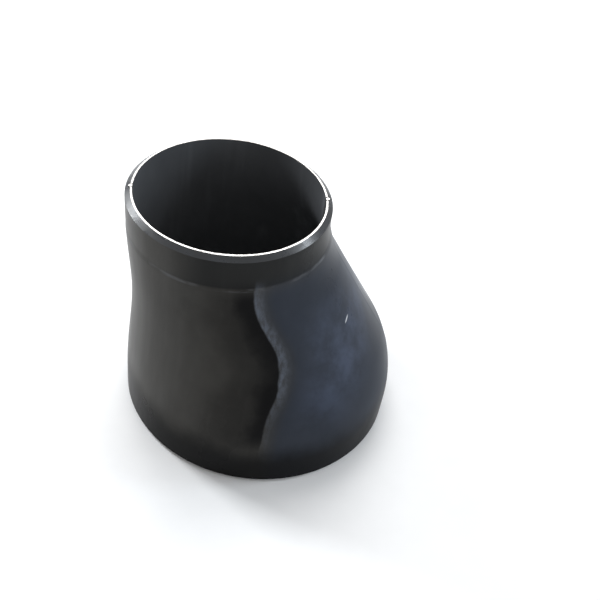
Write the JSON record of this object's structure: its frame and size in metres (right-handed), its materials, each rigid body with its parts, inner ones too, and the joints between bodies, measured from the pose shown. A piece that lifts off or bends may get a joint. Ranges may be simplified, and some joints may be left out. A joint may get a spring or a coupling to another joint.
{
  "type": "eccentric pipe reducer",
  "caption": "Eccentric butt-weld pipe reducer in black-lacquered steel: one side straight, the other an S-curve from the wide end to the narrow end, with bevelled ends.",
  "frame": {"origin": "centre of the large end face, on the axis of the large bore", "axes": "+Z along the pipe axis from the large end to the small end, -X towards the straight side, Y across the symmetry plane"},
  "size_m": [0.4069, 0.4066, 0.356],
  "materials": {
    "lacquered_plate": "semi-gloss black lacquer over carbon steel, end faces left as bare metal",
    "lacquered_weld": "semi-gloss black lacquer over a ground weld bead"
  },
  "bodies": {
    "root": {"front_half_shell": "lacquered_plate", "rear_half_shell": "lacquered_plate", "flat_seam_outer_run": "lacquered_weld", "flat_seam_inner_run": "lacquered_weld", "bulge_seam_outer_run": "lacquered_weld", "bulge_seam_inner_run": "lacquered_weld"}
  },
  "joints": []
}
